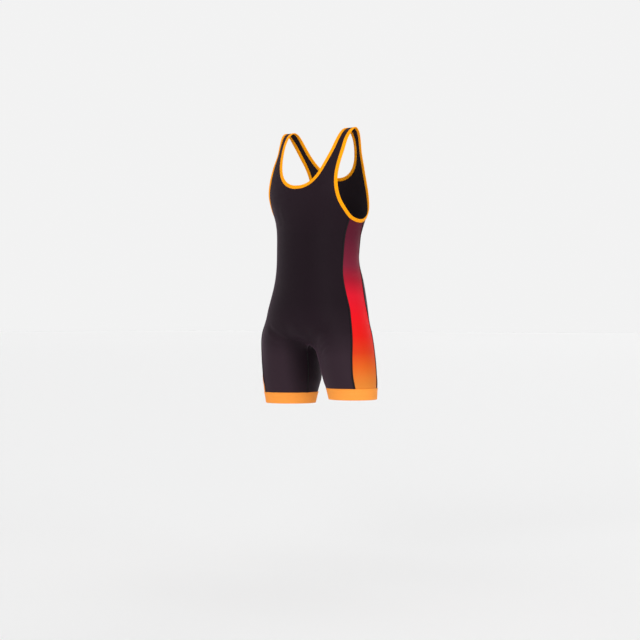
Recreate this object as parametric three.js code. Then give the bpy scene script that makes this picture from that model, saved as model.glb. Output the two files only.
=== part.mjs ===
// A wrestling singlet, held out as it is when worn: a hollow stretch garment in one piece, from the
// shoulder straps to mid thigh. Millimetres, +Z up, +X to the wearer's left, -Y to the front. The origin
// is the mount between the tops of the two straps.
//
// The cloth follows a plain general form: level sections of a trunk that closes over the shoulders, and
// one sloping tube for each leg. Each piece of cloth is then laid on that form between its own seams.
import * as THREE from "three";

// Cloth and trims
const WALL = 1.2; // stretch knit
const GAP = 0.3; // between two pieces that are sewn together
const BINDING_WIDTH = 11;
const BINDING_PROUD = 0.8; // on each face of the cloth
const BINDING_ROUND = 1; // how far the rounding of its open edge reaches in
const BINDING_DROP = 0.1; // how far the open edge lies inside each face of the cloth
const BAND_HEIGHT = 38;
const BAND_WALL = 1.8;
const PIPING_WIDTH = 5;
const PIPING_WALL = 1.0;
const PIPING_BEVEL = 0.4;
const PIPING_START = 0.2; // share of the first seam row that it leaves free under the armhole binding

// Levels
const CREST = 2; // top of the straps
const SHOULDER_BASE = -210; // the trunk starts to close above this level
const UNDERARM = -300;
const HIP = -640;
const HEM = { left: -895, right: -915 };

// The trunk, a row for each level. A section is a rounded oval: its half width, the middle it is measured
// from, how deep it is to the front and to the back, and its power (2 is an ellipse, more is squarer).
const TRUNK = [
  { z: 10, half: 178, middle: 0, front: 120, back: 112, power: 2.7 },
  { z: -35, half: 170, middle: 0, front: 120, back: 112, power: 2.7 },
  { z: -70, half: 166, middle: 0, front: 120, back: 112, power: 2.7 },
  { z: -130, half: 186, middle: 0, front: 120, back: 114, power: 2.7 },
  { z: -171, half: 194, middle: 0, front: 120, back: 116, power: 2.7 },
  { z: -210, half: 189, middle: 0, front: 120, back: 117, power: 2.7 },
  { z: -266, half: 174, middle: 1, front: 118, back: 118, power: 2.5 },
  { z: -311, half: 159, middle: -2, front: 114, back: 117, power: 2.35 },
  { z: -355, half: 151, middle: -9, front: 109, back: 111, power: 2.3 },
  { z: -430, half: 148, middle: -14, front: 107, back: 107, power: 2.3 },
  { z: -503, half: 159, middle: -9, front: 113, back: 124, power: 2.3 },
  { z: -556, half: 170, middle: -10, front: 119, back: 128, power: 2.4 },
  { z: -620, half: 181, middle: -16, front: 122, back: 128, power: 2.7 },
  { z: -740, half: 178, middle: -16, front: 120, back: 124, power: 2.8 },
];
const TRUNK_END = { from: HIP, depth: 74 }; // how the trunk closes between the legs

// A leg, a row for each level: where its middle is, its long and short half widths, and how far the long
// one is turned from the side towards the front.
const LEG = [
  { z: -480, side: 78, middle: -9, long: 40, short: 40 },
  { z: -560, side: 80, middle: -10, long: 66, short: 62 },
  { z: -640, side: 96, middle: -16, long: 100, short: 94 },
  { z: -690, side: 108, middle: -13, long: 108, short: 99 },
  { z: -760, side: 117, middle: -3, long: 107, short: 97 },
  { z: -832, side: 127, middle: 4, long: 103, short: 91 },
  { z: -868, side: 133, middle: 6, long: 94, short: 84 },
  { z: -920, side: 136, middle: 7, long: 91, short: 80 },
];
const LEG_TURN = 45;
const BLEND = 0.26; // how softly legs and trunk run into each other

// Reads a table between its rows, with a smooth curve through each column.
function readTable(rows) {
  const names = Object.keys(rows[0]).filter((name) => name !== "z");
  const slope = (i, name) => {
    if (i === 0 || i === rows.length - 1) return 0;
    const [above, here, below] = [rows[i - 1], rows[i], rows[i + 1]];
    const up = (here[name] - above[name]) / (here.z - above.z);
    const down = (below[name] - here[name]) / (below.z - here.z);
    return up * down <= 0 ? 0 : (2 * up * down) / (up + down);
  };
  const slopes = rows.map((row, i) => Object.fromEntries(names.map((name) => [name, slope(i, name)])));
  return (z) => {
    let i = 0;
    while (i < rows.length - 2 && z < rows[i + 1].z) i += 1;
    const span = rows[i + 1].z - rows[i].z;
    const t = Math.min(1, Math.max(0, (z - rows[i].z) / span));
    const found = {};
    for (const name of names) {
      const [a, b] = [rows[i][name], rows[i + 1][name]];
      const [m, n] = [slopes[i][name] * span, slopes[i + 1][name] * span];
      found[name] =
        a * (2 * t ** 3 - 3 * t ** 2 + 1) +
        m * (t ** 3 - 2 * t ** 2 + t) +
        b * (3 * t ** 2 - 2 * t ** 3) +
        n * (t ** 3 - t ** 2);
    }
    return found;
  };
}
const trunkAt = readTable(TRUNK);
const legAt = readTable(LEG);

// Form: below zero inside, above zero outside
function trunkForm(p) {
  const row = trunkAt(p.z);
  const away = Math.abs(p.y - row.middle) / (p.y < row.middle ? row.front : row.back);
  const across = Math.abs(p.x) / row.half;
  if (p.z <= SHOULDER_BASE) {
    const end = Math.max(0, (TRUNK_END.from - p.z) / TRUNK_END.depth);
    return across ** row.power + away ** row.power + end ** 2 - 1;
  }
  const left = 1 - across ** row.power;
  if (left < 0.02) return 1;
  const rise = (p.z - SHOULDER_BASE) / (CREST - SHOULDER_BASE);
  return (away / left ** (1 / row.power)) ** 1.9 + rise ** 1.3 - 1;
}

function legForm(p, side) {
  const row = legAt(p.z);
  const turn = THREE.MathUtils.degToRad(LEG_TURN);
  const x = side * p.x - row.side;
  const y = p.y - row.middle;
  const along = x * Math.cos(turn) - y * Math.sin(turn);
  const over = x * Math.sin(turn) + y * Math.cos(turn);
  return (along / row.long) ** 2 + (over / row.short) ** 2 - 1;
}

function softMin(a, b) {
  const near = Math.max(0, BLEND - Math.abs(a - b)) / BLEND;
  return Math.min(a, b) - (near * near * BLEND) / 4;
}

function form(p) {
  if (p.z > LEG[0].z) return trunkForm(p);
  return softMin(trunkForm(p), Math.min(legForm(p, 1), legForm(p, -1)));
}

// Outward direction of the form at a point, from small steps each way
function outward(p) {
  const step = 0.5;
  const grow = new THREE.Vector3();
  for (const axis of ["x", "y", "z"]) {
    const more = p.clone();
    const less = p.clone();
    more[axis] += step;
    less[axis] -= step;
    grow[axis] = form(more) - form(less);
  }
  return grow.divideScalar(2 * step);
}
const normalAt = (p) => outward(p).normalize();

// Moves a point that is near the form onto it.
function settle(p) {
  const q = p.clone();
  for (let i = 0; i < 6; i += 1) {
    const grow = outward(q);
    q.addScaledVector(grow, -form(q) / grow.lengthSq());
  }
  return q;
}

// First place where a line from inside the form comes out of it
function reach(from, direction) {
  const way = direction.clone().normalize();
  const at = (length) => from.clone().addScaledVector(way, length);
  let inside = 0;
  let outside = 4;
  while (form(at(outside)) < 0) {
    inside = outside;
    outside += 4;
  }
  for (let i = 0; i < 24; i += 1) {
    const middle = (inside + outside) / 2;
    if (form(at(middle)) < 0) inside = middle;
    else outside = middle;
  }
  return at((inside + outside) / 2);
}

// Edges and seams. A row gives a level and, for the front and back faces, how far to the side; for the side
// face, how far to the back.
const FACES = {
  front: (row) => reach(new THREE.Vector3(row.x, trunkAt(row.z).middle, row.z), new THREE.Vector3(0, -1, 0)),
  back: (row) => reach(new THREE.Vector3(row.x, trunkAt(row.z).middle, row.z), new THREE.Vector3(0, 1, 0)),
  side: (row) => reach(new THREE.Vector3(legAt(row.z).side, row.y, row.z), new THREE.Vector3(1, 0, 0)),
  crest: (row) => new THREE.Vector3(row.x, trunkAt(CREST).middle, CREST),
};
const place = (row) => FACES[row.face](row);

// Middle of the neck binding on the left half, from the front round to the back
const NECK = [
  { face: "front", x: 0, z: -194 },
  { face: "front", x: 28, z: -191 },
  { face: "front", x: 55, z: -179 },
  { face: "front", x: 77, z: -157 },
  { face: "front", x: 91, z: -130 },
  { face: "front", x: 102, z: -98 },
  { face: "front", x: 110, z: -66 },
  { face: "front", x: 114, z: -35 },
  { face: "crest", x: 116 },
  { face: "back", x: 112, z: -35 },
  { face: "back", x: 102, z: -70 },
  { face: "back", x: 86, z: -103 },
  { face: "back", x: 61, z: -132 },
  { face: "back", x: 31, z: -149 },
  { face: "back", x: 0, z: -154 },
];
const NECK_CREST = 8;

// Middle of the left armhole binding: down the front, under the arm and up the back
const ARMHOLE = [
  { face: "crest", x: 150 },
  { face: "front", x: 144, z: -30 },
  { face: "front", x: 141, z: -70 },
  { face: "front", x: 141, z: -115 },
  { face: "front", x: 142, z: -160 },
  { face: "front", x: 146, z: -200 },
  { face: "front", x: 151, z: -240 },
  { face: "front", x: 158, z: -275 },
  { face: "side", y: -36, z: -294 },
  { face: "side", y: 0, z: -305 },
  { face: "side", y: 38, z: -302 },
  { face: "back", x: 145, z: -276 },
  { face: "back", x: 131, z: -240 },
  { face: "back", x: 121, z: -200 },
  { face: "back", x: 118, z: -158 },
  { face: "back", x: 122, z: -115 },
  { face: "back", x: 132, z: -70 },
  { face: "back", x: 143, z: -30 },
];
const ARMHOLE_FRONT_SEAM = 8;
const ARMHOLE_BACK_SEAM = 10;

// Seams between the side panel and the front, and between it and the back, from under the arm down
const FRONT_SEAM = [
  { face: "side", y: -48, z: -358 },
  { face: "side", y: -54, z: -432 },
  { face: "side", y: -59, z: -480 },
  { face: "side", y: -60, z: -540 },
  { face: "side", y: -61, z: -600 },
  { face: "side", y: -69, z: -655 },
  { face: "side", y: -75, z: -700 },
  { face: "side", y: -75, z: -770 },
  { face: "side", y: -72, z: -820 },
];
const BACK_SEAM = [
  { face: "side", y: 43, z: -358 },
  { face: "side", y: 40, z: -432 },
  { face: "side", y: 37, z: -480 },
  { face: "side", y: 31, z: -530 },
  { face: "side", y: 27, z: -580 },
  { face: "side", y: 32, z: -640 },
  { face: "side", y: 35, z: -700 },
  { face: "side", y: 33, z: -770 },
  { face: "side", y: 31, z: -820 },
];
const SEAM_HEM = { front: -63, back: 29 }; // how far to the back each seam is at the hem
const SEAM_HIP = 7; // the point of each seam, counted from its top, that is level with the crotch

// Middle of the front and of the back, down to the crotch
const CENTRE_FRONT = [-300, -430, -520, -600, -650, -690].map((z) => ({ face: "front", x: 0, z }));
const CENTRE_BACK = [-260, -360, -430, -500, -560, -620, -660, -695].map((z) => ({ face: "back", x: 0, z }));
const CROTCH_SEAM = -54; // how far to the back the front and back meet between the legs
const CROTCH_RUN = { front: [-86], back: [54, 18, -18] }; // places on the underside, on the way to it

// Inner leg seam: how far round from the front it lies, on the inside of the leg
const INSEAM = [
  { z: -736, turn: 69 },
  { z: -765, turn: 71 },
  { z: -805, turn: 74 },
];
const INSEAM_HEM_TURN = 80;

// How finely each piece is divided
const ROWS = {
  neckFront: 16,
  neckBack: 13,
  armholeFront: 19,
  armholeUnder: 6,
  armholeBack: 17,
  seam: 16, // from under the arm to the crotch level
  leg: 8, // from there to the hem band
};
const COLUMNS = { face: 10, side: 6 };
const BRIDGE = { front: 4, back: 8, leg: 4 }; // rows over the underside, above and below the crotch

// Evenly spaced places along a curve, between two of the points it was drawn through
function spaced(curve, from, to, count) {
  const spans = curve.points.length - (curve.closed ? 0 : 1);
  const fine = 300;
  const at = (along) => (curve.closed ? (along / spans) % 1 : Math.min(1, along / spans));
  const walk = [{ along: from, length: 0, point: curve.getPoint(at(from)) }];
  for (let i = 1; i <= fine; i += 1) {
    const along = from + ((to - from) * i) / fine;
    const point = curve.getPoint(at(along));
    const last = walk[i - 1];
    walk.push({ along, length: last.length + point.distanceTo(last.point), point });
  }
  const whole = walk[fine].length;
  return Array.from({ length: count + 1 }, (_, k) => {
    const wanted = (whole * k) / count;
    const i = Math.max(1, walk.findIndex((w) => w.length >= wanted - 1e-9));
    const [a, b] = [walk[i - 1], walk[i]];
    const share = (wanted - a.length) / (b.length - a.length);
    const along = at(a.along + (b.along - a.along) * share);
    return { point: settle(curve.getPoint(along)), tangent: curve.getTangent(along) };
  });
}
const points = (places) => places.map((found) => found.point);

// Finds points around a place on an edge, from how far they are across it, into the cloth, and how far
// they are lifted off the form.
function aroundEdge({ point, tangent }) {
  const across = tangent.clone().cross(normalAt(point)).normalize();
  return (over, lift) => {
    const q = settle(point.clone().addScaledVector(across, over));
    return q.addScaledVector(normalAt(q), lift);
  };
}

// Places inside the form that the cloth is laid out from: level with a point, but never above the chest;
// on the trunk the middle of it, on a leg the middle of the leg. The change from one to the other runs
// between two levels, for points near the middle of the garment and for points at its side.
const TO_LEG = { middle: [640, 705], side: [560, 700] };
const legMiddle = (z) => new THREE.Vector3(legAt(z).side, legAt(z).middle, z);
function middleFrom(p) {
  const trunk = new THREE.Vector3(0, trunkAt(p.z).middle, p.z);
  return trunk.lerp(legMiddle(p.z), THREE.MathUtils.smoothstep(-p.z, ...TO_LEG.middle));
}
function sideFrom(p) {
  const z = Math.min(p.z, SHOULDER_BASE);
  const chest = THREE.MathUtils.clamp((z - UNDERARM) / (SHOULDER_BASE - UNDERARM), 0, 1);
  const trunk = new THREE.Vector3(p.x * chest, trunkAt(z).middle, z);
  return trunk.lerp(legMiddle(z), THREE.MathUtils.smoothstep(-z, ...TO_LEG.side));
}

// A row of points on the form from one place to another, turning evenly about the places they are laid
// out from. Turns run from the front (0) over the left side to the back.
function row(a, aFrom, b, bFrom, columns, behind) {
  const bearing = (p, from) => {
    const way = p.clone().sub(from);
    const turn = Math.atan2(way.x, -way.y);
    const rise = Math.atan2(way.z, Math.hypot(way.x, way.y));
    return { turn: behind && turn < 0 ? turn + 2 * Math.PI : turn, rise };
  };
  const start = bearing(a, aFrom);
  const end = bearing(b, bFrom);
  const found = [a];
  for (let i = 1; i < columns; i += 1) {
    const share = i / columns;
    const turn = THREE.MathUtils.lerp(start.turn, end.turn, share);
    const rise = THREE.MathUtils.lerp(start.rise, end.rise, share);
    const level = Math.cos(rise);
    const way = new THREE.Vector3(Math.sin(turn) * level, -Math.cos(turn) * level, Math.sin(rise));
    const from = aFrom.clone().lerp(bFrom, share);
    from.z = THREE.MathUtils.lerp(aFrom.z, bFrom.z, THREE.MathUtils.smoothstep(share, 0, 1));
    found.push(reach(from, way));
  }
  return [...found, b];
}

// The rows between two rows of a face that are already right, led over to new ends at both sides
function bridge(rows, first, last) {
  for (let k = first + 1; k < last; k += 1) {
    const along = (k - first) / (last - first);
    const between = (i) => rows[first][i].clone().lerp(rows[last][i], along);
    const atStart = rows[k][0].clone().sub(between(0));
    const atEnd = rows[k][COLUMNS.face].clone().sub(between(COLUMNS.face));
    for (let i = 1; i < COLUMNS.face; i += 1) {
      const share = i / COLUMNS.face;
      const moved = between(i).addScaledVector(atStart, (1 - share) ** 2).addScaledVector(atEnd, share ** 2);
      rows[k][i] = settle(moved);
    }
  }
  return rows;
}

// Everything on the left half, for a leg that ends at the level given
function halfGarment(hem) {
  const hemLine = hem + BAND_HEIGHT + GAP / 2;
  const edgeOffset = (BINDING_WIDTH + GAP) / 2;

  const neckLeft = NECK.map(place);
  const neckRight = neckLeft.slice(1, -1).reverse().map((p) => new THREE.Vector3(-p.x, p.y, p.z));
  const neck = new THREE.CatmullRomCurve3([...neckLeft, ...neckRight], true);
  const neckFront = spaced(neck, 0, NECK_CREST, ROWS.neckFront).map(aroundEdge);
  const neckBack = spaced(neck, NECK_CREST, NECK.length - 1, ROWS.neckBack).map(aroundEdge);

  const armhole = new THREE.CatmullRomCurve3(ARMHOLE.map(place), true);
  const armFront = spaced(armhole, 0, ARMHOLE_FRONT_SEAM, ROWS.armholeFront).map(aroundEdge);
  const armUnder = spaced(armhole, ARMHOLE_FRONT_SEAM, ARMHOLE_BACK_SEAM, ROWS.armholeUnder).map(aroundEdge);
  const armBack = spaced(armhole, ARMHOLE_BACK_SEAM, ARMHOLE.length, ROWS.armholeBack).map(aroundEdge);
  const clothEdge = (places) => places.map((around) => around(edgeOffset, 0));

  const seam = (top, rows, y) => {
    const end = place({ face: "side", y, z: hemLine });
    const curve = new THREE.CatmullRomCurve3([top, ...rows.map(place), end]);
    const upper = points(spaced(curve, 0, SEAM_HIP, ROWS.seam));
    const lower = points(spaced(curve, SEAM_HIP, rows.length + 1, ROWS.leg));
    return [top, ...upper.slice(1), ...lower.slice(1, -1), end];
  };
  const under = clothEdge(armUnder);
  const frontSeam = seam(under[0], FRONT_SEAM, SEAM_HEM.front);
  const backSeam = seam(under[under.length - 1], BACK_SEAM, SEAM_HEM.back);

  // Middle lines, and the inseam from the crotch to the hem
  const underside = (y) => reach(new THREE.Vector3(0, y, HIP), new THREE.Vector3(0, 0, -1));
  const crotch = underside(CROTCH_SEAM);
  const centre = (top, rows, run, count) => {
    const curve = new THREE.CatmullRomCurve3([top, ...rows.map(place), ...run.map(underside), crotch]);
    const inner = points(spaced(curve, 0, curve.points.length - 1, count)).slice(1, -1);
    inner.forEach((p) => (p.x = 0));
    return [top, ...inner, crotch];
  };
  const onLeg = ({ z, turn }) => {
    const angle = THREE.MathUtils.degToRad(turn);
    return reach(legMiddle(z), new THREE.Vector3(-Math.sin(angle), -Math.cos(angle), 0));
  };
  const inseamEnd = onLeg({ z: hemLine, turn: INSEAM_HEM_TURN });
  const inseamCurve = new THREE.CatmullRomCurve3([crotch, ...INSEAM.map(onLeg), inseamEnd]);
  const inseam = points(spaced(inseamCurve, 0, INSEAM.length + 1, ROWS.leg));
  inseam[0] = crotch;
  inseam[ROWS.leg] = inseamEnd;

  // A front or back half: from its neck edge, middle line and inseam across to its armhole and side seam
  const face = (neckEdge, middle, armEdge, sideSeam, behind) => {
    const atCrotch = neckEdge.length + middle.length - 2;
    const inner = [
      ...neckEdge.map((p) => [p, sideFrom(p)]),
      ...[...middle.slice(1), ...inseam.slice(1)].map((p) => [p, middleFrom(p)]),
    ];
    const outer = [...armEdge, ...sideSeam.slice(1)];
    const rows = inner.map(([p, from], i) => {
      return row(p, from, outer[i], sideFrom(outer[i]), COLUMNS.face, behind);
    });
    return bridge(rows, atCrotch - (behind ? BRIDGE.back : BRIDGE.front), atCrotch + BRIDGE.leg);
  };
  const frontNeckEdge = clothEdge(neckFront).reverse();
  frontNeckEdge[ROWS.neckFront].x = 0;
  const backNeckEdge = clothEdge(neckBack);
  backNeckEdge[ROWS.neckBack].x = 0;
  const seamRows = ROWS.seam + ROWS.leg;
  const frontMiddle = centre(
    frontNeckEdge[ROWS.neckFront],
    CENTRE_FRONT,
    CROTCH_RUN.front,
    ROWS.armholeFront + seamRows - ROWS.neckFront - ROWS.leg,
  );
  const backMiddle = centre(
    backNeckEdge[ROWS.neckBack],
    CENTRE_BACK,
    CROTCH_RUN.back,
    ROWS.armholeBack + seamRows - ROWS.neckBack - ROWS.leg,
  );
  const front = face(frontNeckEdge, frontMiddle, clothEdge(armFront), frontSeam, false);
  const back = face(backNeckEdge, backMiddle, clothEdge(armBack).reverse(), backSeam, true);
  const side = frontSeam.map((p, i) => {
    if (i === 0) return under;
    return row(p, sideFrom(p), backSeam[i], sideFrom(backSeam[i]), COLUMNS.side, false);
  });

  // The hem line right round the leg, from the inseam over the front, the side and the back
  const last = (rows) => rows[rows.length - 1];
  const round = [...last(front), ...last(side).slice(1), ...last(back).slice(1, -1).reverse()];
  const band = round.map((p) => {
    const way = p.clone().sub(legMiddle(hemLine)).setZ(0);
    return [hem + BAND_HEIGHT, hem + BAND_HEIGHT / 2, hem].map((z) => reach(legMiddle(z), way));
  });

  return { front, back, side, band, neckFront, neckBack, armFront, armUnder, armBack, frontSeam, backSeam };
}

const mirror = (p) => new THREE.Vector3(-p.x, p.y, p.z);
const left = halfGarment(HEM.left);
const right = halfGarment(HEM.right);

// Materials
const cloth = (color) => new THREE.MeshStandardMaterial({ color, roughness: 0.75, metalness: 0 });
const BLACK = cloth(0x2f2630);
const SIDE = cloth(0xb8303c);
const ORANGE = cloth(0xf5a53c);
const PIPING = cloth(0x151216);

// One closed mesh from points and faces, turned to face out if it faces in
function solid(name, vertices, faces, material) {
  let volume = 0;
  for (const [a, b, c] of faces) volume += vertices[a].dot(vertices[b].clone().cross(vertices[c]));
  const facing = volume > 0 ? faces : faces.map(([a, b, c]) => [a, c, b]);
  const geometry = new THREE.BufferGeometry().setFromPoints(vertices);
  geometry.setIndex(facing.flat());
  geometry.computeVertexNormals();
  const mesh = new THREE.Mesh(geometry, material);
  mesh.name = name;
  return mesh;
}

// Cloth laid over rows of points: the outer face on the form, the inner face one wall inside it, every
// edge drawn back by half the gap.
function sheet(name, ladders, material) {
  const outer = [];
  const found = new Map();
  const index = (p) => {
    const key = `${p.x.toFixed(2)} ${p.y.toFixed(2)} ${p.z.toFixed(2)}`.replaceAll("-0.00", "0.00");
    if (!found.has(key)) found.set(key, outer.push(p.clone()) - 1);
    return found.get(key);
  };
  const faces = [];
  const add = (a, b, c) => {
    if (a === b || b === c || a === c) return;
    const [p, q, r] = [outer[a], outer[b], outer[c]];
    const middle = p.clone().add(q).add(r).divideScalar(3);
    const way = q.clone().sub(p).cross(r.clone().sub(p));
    faces.push(way.dot(outward(middle)) > 0 ? [a, b, c] : [a, c, b]);
  };
  for (const rows of ladders) {
    for (let j = 1; j < rows.length; j += 1) {
      for (let i = 1; i < rows[j].length; i += 1) {
        const quad = [rows[j - 1][i - 1], rows[j - 1][i], rows[j][i], rows[j][i - 1]].map(index);
        const [a, b, c, d] = quad;
        if (outer[a].distanceTo(outer[c]) <= outer[b].distanceTo(outer[d])) {
          add(a, b, c);
          add(a, c, d);
        } else {
          add(a, b, d);
          add(b, c, d);
        }
      }
    }
  }
  const edges = new Map();
  for (const [a, b, c] of faces) {
    for (const [p, q] of [[a, b], [b, c], [c, a]]) edges.set(`${p} ${q}`, [p, q]);
  }
  const rim = [...edges.values()].filter(([p, q]) => !edges.has(`${q} ${p}`));

  // The edge is drawn back along the cloth, square to the rim on both sides of each point.
  const back = new Map();
  for (const [p, q] of rim) {
    const along = outer[q].clone().sub(outer[p]);
    for (const i of [p, q]) {
      const inward = normalAt(outer[i]).cross(along).normalize();
      back.set(i, [...(back.get(i) ?? []), inward]);
    }
  }
  const normals = outer.map(normalAt);
  for (const [i, [one, two]] of back) {
    const both = one.clone().add(two).normalize();
    outer[i].addScaledVector(both, GAP / 2 / Math.max(0.5, both.dot(one)));
  }
  const inner = outer.map((p, i) => p.clone().addScaledVector(normals[i], -WALL));
  const n = outer.length;
  const all = [...faces];
  for (const [a, b, c] of faces) all.push([a + n, c + n, b + n]);
  for (const [p, q] of rim) all.push([q, p, p + n], [q, p + n, q + n]);
  return solid(name, [...outer, ...inner], all, material);
}

// A strip with the same section all along; its ends are joined or closed
function strip(name, sections, closed, material) {
  const sides = sections[0].length;
  const faces = [];
  const count = closed ? sections.length : sections.length - 1;
  for (let j = 0; j < count; j += 1) {
    for (let i = 0; i < sides; i += 1) {
      const a = j * sides + i;
      const b = j * sides + ((i + 1) % sides);
      const c = ((j + 1) % sections.length) * sides + ((i + 1) % sides);
      const d = ((j + 1) % sections.length) * sides + i;
      faces.push([a, b, c], [a, c, d]);
    }
  }
  if (!closed) {
    const end = (sections.length - 1) * sides;
    for (let i = 1; i < sides - 1; i += 1) {
      faces.push([0, i + 1, i], [end, end + i, end + i + 1]);
    }
  }
  return solid(name, sections.flat(), faces, material);
}

// A binding: folded over the edge, so it is thicker than the cloth, with its open edge rounded off
const BINDING_SECTION = [
  { over: -BINDING_WIDTH / 2, lift: -BINDING_DROP },
  { over: BINDING_ROUND - BINDING_WIDTH / 2, lift: BINDING_PROUD },
  { over: BINDING_WIDTH / 2, lift: BINDING_PROUD },
  { over: BINDING_WIDTH / 2, lift: -WALL - BINDING_PROUD },
  { over: BINDING_ROUND - BINDING_WIDTH / 2, lift: -WALL - BINDING_PROUD },
  { over: -BINDING_WIDTH / 2, lift: BINDING_DROP - WALL },
];
const bindingAt = (around) => BINDING_SECTION.map(({ over, lift }) => around(over, lift));
const loop = (...parts) => parts.flatMap((places) => places.slice(0, -1)).map(bindingAt);

// Piping: a flat tape that lies on the cloth over a seam
function pipingAt(seam) {
  const curve = new THREE.CatmullRomCurve3(seam);
  const places = seam.map((point, i) => ({ point, tangent: curve.getTangent(i / (seam.length - 1)) }));
  places[0].point = seam[0].clone().lerp(seam[1], PIPING_START);
  const half = PIPING_WIDTH / 2;
  return places.map(aroundEdge).map((around) => [
    around(-half, GAP),
    around(PIPING_BEVEL - half, GAP + PIPING_WALL),
    around(half - PIPING_BEVEL, GAP + PIPING_WALL),
    around(half, GAP),
  ]);
}

// Hem band: a wall a little thicker than the cloth, level at its top and bottom
function bandAt(levels) {
  const outerFace = levels.map((p) => p.clone().addScaledVector(normalAt(p), (BAND_WALL - WALL) / 2));
  const innerFace = levels.map((p) => p.clone().addScaledVector(normalAt(p), -(BAND_WALL + WALL) / 2));
  [...outerFace, ...innerFace].forEach((p, i) => (p.z = levels[i % levels.length].z));
  return [...outerFace, ...innerFace.reverse()];
}

const group = new THREE.Group();
const both = (ladder) => [left[ladder], right[ladder].map((rows) => rows.map(mirror))];
group.add(sheet("front_panel", both("front"), BLACK));
group.add(sheet("back_panel", both("back"), BLACK));

const neckLeftHalf = [...left.neckFront.slice(0, -1), ...left.neckBack].map(bindingAt);
const neckRightHalf = neckLeftHalf.slice(1, -1).reverse().map((section) => section.map(mirror));
group.add(strip("neck_binding", [...neckLeftHalf, ...neckRightHalf], true, ORANGE));

for (const [word, half, turn] of [["left", left, (p) => p], ["right", right, mirror]]) {
  const turned = (sections) => sections.map((section) => section.map(turn));
  group.add(sheet(`side_panel_${word}`, [turned(half.side)], SIDE));
  const armhole = loop(half.armFront, half.armUnder, half.armBack);
  group.add(strip(`armhole_binding_${word}`, turned(armhole), true, ORANGE));
  group.add(strip(`hem_band_${word}`, turned(half.band.map(bandAt)), true, ORANGE));
  group.add(strip(`piping_front_${word}`, turned(pipingAt(half.frontSeam)), false, PIPING));
  group.add(strip(`piping_back_${word}`, turned(pipingAt(half.backSeam)), false, PIPING));
}

export default group;
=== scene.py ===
# %% [markdown]
# # A stretch singlet, worn
# This lesson dresses a one-piece stretch singlet: dark knit front and back, side panels printed
# in a fade from plum to red to orange, orange bindings, black flat piping and ribbed hem bands.
# The rigid CAD model gives the form. Here each cut piece becomes a thin shell of cloth on that
# form, with its creases, seams and stitches. Lengths are in metres, and Z is up.

# %% Start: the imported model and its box
import math
import bpy
import bmesh
import numpy as np
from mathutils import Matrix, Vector
from mathutils.bvhtree import BVHTree


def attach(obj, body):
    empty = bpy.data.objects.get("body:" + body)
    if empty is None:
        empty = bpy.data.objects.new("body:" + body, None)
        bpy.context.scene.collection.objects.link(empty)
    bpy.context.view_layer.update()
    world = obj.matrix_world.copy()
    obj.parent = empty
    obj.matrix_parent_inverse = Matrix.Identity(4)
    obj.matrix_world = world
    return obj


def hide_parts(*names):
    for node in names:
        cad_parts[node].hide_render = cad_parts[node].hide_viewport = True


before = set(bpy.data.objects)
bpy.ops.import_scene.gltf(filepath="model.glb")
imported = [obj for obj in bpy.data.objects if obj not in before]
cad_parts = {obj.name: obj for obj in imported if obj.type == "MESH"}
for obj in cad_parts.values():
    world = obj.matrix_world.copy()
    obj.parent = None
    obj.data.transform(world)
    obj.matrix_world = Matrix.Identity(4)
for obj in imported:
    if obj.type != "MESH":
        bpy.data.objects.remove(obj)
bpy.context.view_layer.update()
MM = 0.001
SIDES = ("left", "right")

# %% [markdown]
# ## Reading the cut pieces off the model
# The model is made of triangles, two for each small four-sided patch. Catmull-Clark subdivision
# wants four-sided faces, so the pairs are joined first. A sheet in the model is closed: an outer
# skin, an inner skin and a narrow rim. The rim's faces are as long as the cloth is thick, so
# they are found by that length and removed, and the larger of the two skins is the outer one.

# %% The outer skin of a cut piece
RIM = 1.35 * MM  # the model's cloth is 1.2 mm thick


def patches(node):
    """The node's own mesh as four-sided patches, in a bmesh."""
    mesh = bmesh.new()
    mesh.from_mesh(bpy.data.objects[node].data)
    bmesh.ops.remove_doubles(mesh, verts=mesh.verts[:], dist=0.02 * MM)
    bmesh.ops.join_triangles(
        mesh, faces=mesh.faces[:], angle_face_threshold=3.1, angle_shape_threshold=3.1
    )
    return mesh


def islands(mesh):
    """The parts of a mesh that hang together, each a list of faces."""
    left, parts = set(mesh.faces), []
    while left:
        part, todo = [], [left.pop()]
        while todo:
            face = todo.pop()
            part.append(face)
            for edge in face.edges:
                for other in edge.link_faces:
                    if other in left:
                        left.remove(other)
                        todo.append(other)
        parts.append(part)
    return parts


def outer_skin(node):
    """The outer skin of a cut piece, as patches."""
    mesh = patches(node)
    rim = [f for f in mesh.faces if min(e.calc_length() for e in f.edges) < RIM]
    bmesh.ops.delete(mesh, geom=rim, context="FACES")
    parts = sorted(islands(mesh), key=lambda part: sum(f.calc_area() for f in part))
    for part in parts[:-1]:
        bmesh.ops.delete(mesh, geom=part, context="FACES")
    area = sum(f.calc_area() for f in mesh.faces)
    print(node, "skin:", len(mesh.faces), "patches,", round(area, 4), "square metres")
    return mesh


skins = {
    node: outer_skin(node)
    for node in ("front_panel", "back_panel", "side_panel_left", "side_panel_right")
}

# %% [markdown]
# ## Reading the strips
# A binding, a hem band and a length of piping are strips: the same small section, repeated along
# a path. Walking from point to point across the patches gives the sections back in order, and
# each strip can then be drawn again with a finer section. Around a ring, each path closes on
# itself, and the short one is the section.

# %% Walking over the patches of a strip


def straight_on(vert, edge):
    """The edge that carries on past vert, with a patch between it and edge on both sides."""
    beside = set(edge.link_faces)
    for other in vert.link_edges:
        if other is not edge and not beside & set(other.link_faces):
            return other
    return None


def walk(vert, edge):
    """The points met from vert along edge, until the walk closes or ends."""
    line = [vert]
    while edge is not None and edge.other_vert(line[-1]) is not vert:
        line.append(edge.other_vert(line[-1]))
        edge = straight_on(line[-1], edge)
    return line


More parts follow.
